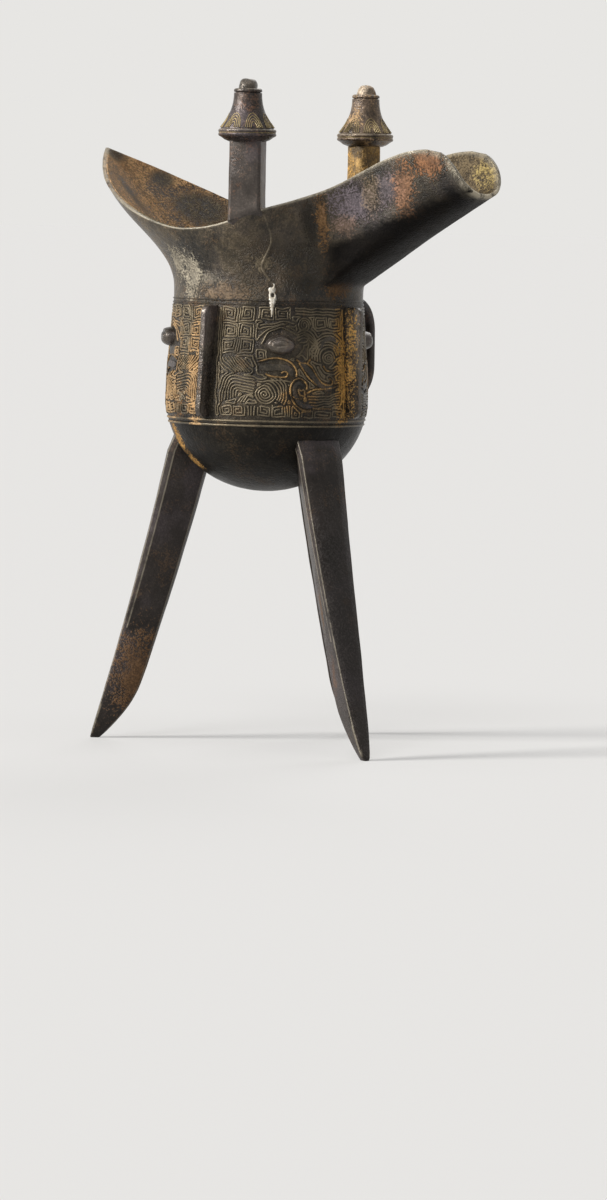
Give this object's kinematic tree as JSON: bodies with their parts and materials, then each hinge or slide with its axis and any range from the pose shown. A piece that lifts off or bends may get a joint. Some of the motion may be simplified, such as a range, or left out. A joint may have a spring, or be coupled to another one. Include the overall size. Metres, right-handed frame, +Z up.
{
  "type": "bronze jue vessel",
  "caption": "Bronze jue: three-legged ritual wine cup with spout, pointed tail, two capped posts, mask band with flanges, strap handle; old brown patina.",
  "frame": {"origin": "middle of the object's bounding box on the floor plane that the three feet stand on", "axes": "+Z up, +X toward the spout, -X toward the pointed tail, +Y toward the handle, -Y toward the face with the visible mask"},
  "size_m": [0.143, 0.096, 0.2051],
  "materials": {
    "bronze_dark": "dark brown-black patina, satin, with fine casting grain",
    "bronze_grey": "smooth brown-grey patina with a purple sheen, polished by handling",
    "bronze_golden": "golden-tan encrusted patina, rough and matt",
    "bronze_worn": "worn brown bronze, brighter on the edges",
    "filling": "pale repair filling, matt"
  },
  "bodies": {
    "root": {"bowl": "bronze_dark", "belly": "bronze_dark", "neck": "bronze_dark", "mouth_wall_mask_side": "bronze_dark", "mouth_wall_handle_side": "bronze_dark", "leg_spout_side": "bronze_dark", "leg_tail_side": "bronze_dark", "leg_handle_side": "bronze_dark", "handle_strap": "bronze_dark", "spout": "bronze_grey", "post_mask_side": "bronze_grey", "cap_mask_side": "bronze_grey", "tail": "bronze_golden", "post_handle_side": "bronze_golden", "cap_handle_side": "bronze_golden", "cap_knob_mask_side": "bronze_worn", "cap_knob_handle_side": "bronze_worn", "border_upper": "bronze_worn", "border_lower": "bronze_worn", "flange_spout": "bronze_worn", "flange_mask": "bronze_worn", "flange_tail": "bronze_worn", "eye_mask_spout_side": "bronze_worn", "eye_mask_tail_side": "bronze_worn", "eye_handle_spout_side": "bronze_worn", "eye_handle_tail_side": "bronze_worn", "relief_mask_spout_side": "bronze_worn", "relief_mask_tail_side": "bronze_worn", "relief_handle_spout_side": "bronze_worn", "relief_handle_tail_side": "bronze_worn", "handle_head": "bronze_worn", "repair_fill": "filling"}
  },
  "joints": []
}
